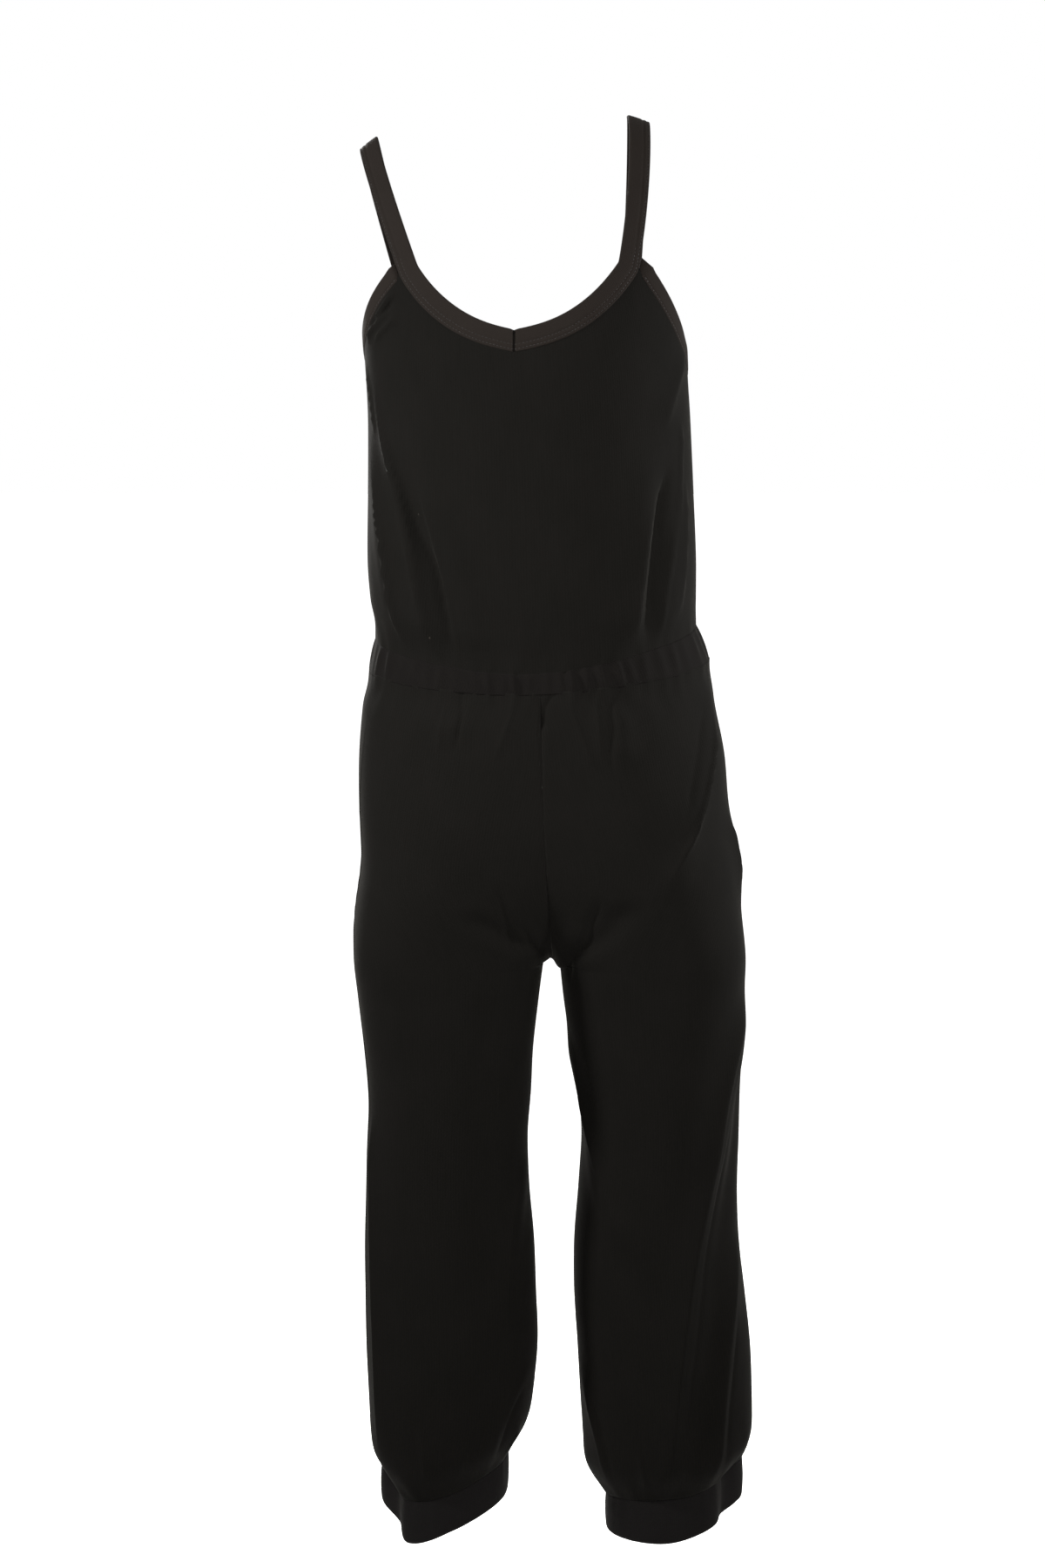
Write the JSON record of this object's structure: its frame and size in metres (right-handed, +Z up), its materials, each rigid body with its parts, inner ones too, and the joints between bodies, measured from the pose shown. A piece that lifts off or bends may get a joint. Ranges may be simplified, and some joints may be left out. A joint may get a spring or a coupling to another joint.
{
  "type": "sleeveless jumpsuit",
  "caption": "Black velour jumpsuit in its hollow worn form: camisole top with bound V-notched neck, shirred waist, and full-length trousers gathered into knitted cuffs.",
  "frame": {"origin": "midway between the crests of the two shoulder straps, where the wearer's shoulders hold it", "axes": "+X to the viewer's right in the front view, -Y out of the garment's front, +Z up"},
  "size_m": [0.3735, 0.2354, 1.3168],
  "materials": {
    "velour": "brushed velour knit, matt with a soft nap",
    "casing": "brushed velour knit shirred over elastic",
    "binding": "plain jersey folded and stitched down",
    "cuff": "plain double knit"
  },
  "bodies": {
    "root": {"bodice_front": "velour", "bodice_back": "velour", "neck_band_left": "binding", "neck_band_right": "binding", "armhole_band_left": "binding", "armhole_band_right": "binding", "waist_casing": "casing", "trouser_front_left": "velour", "trouser_back_left": "velour", "trouser_front_right": "velour", "trouser_back_right": "velour", "cuff_left": "cuff", "cuff_right": "cuff"}
  },
  "joints": []
}
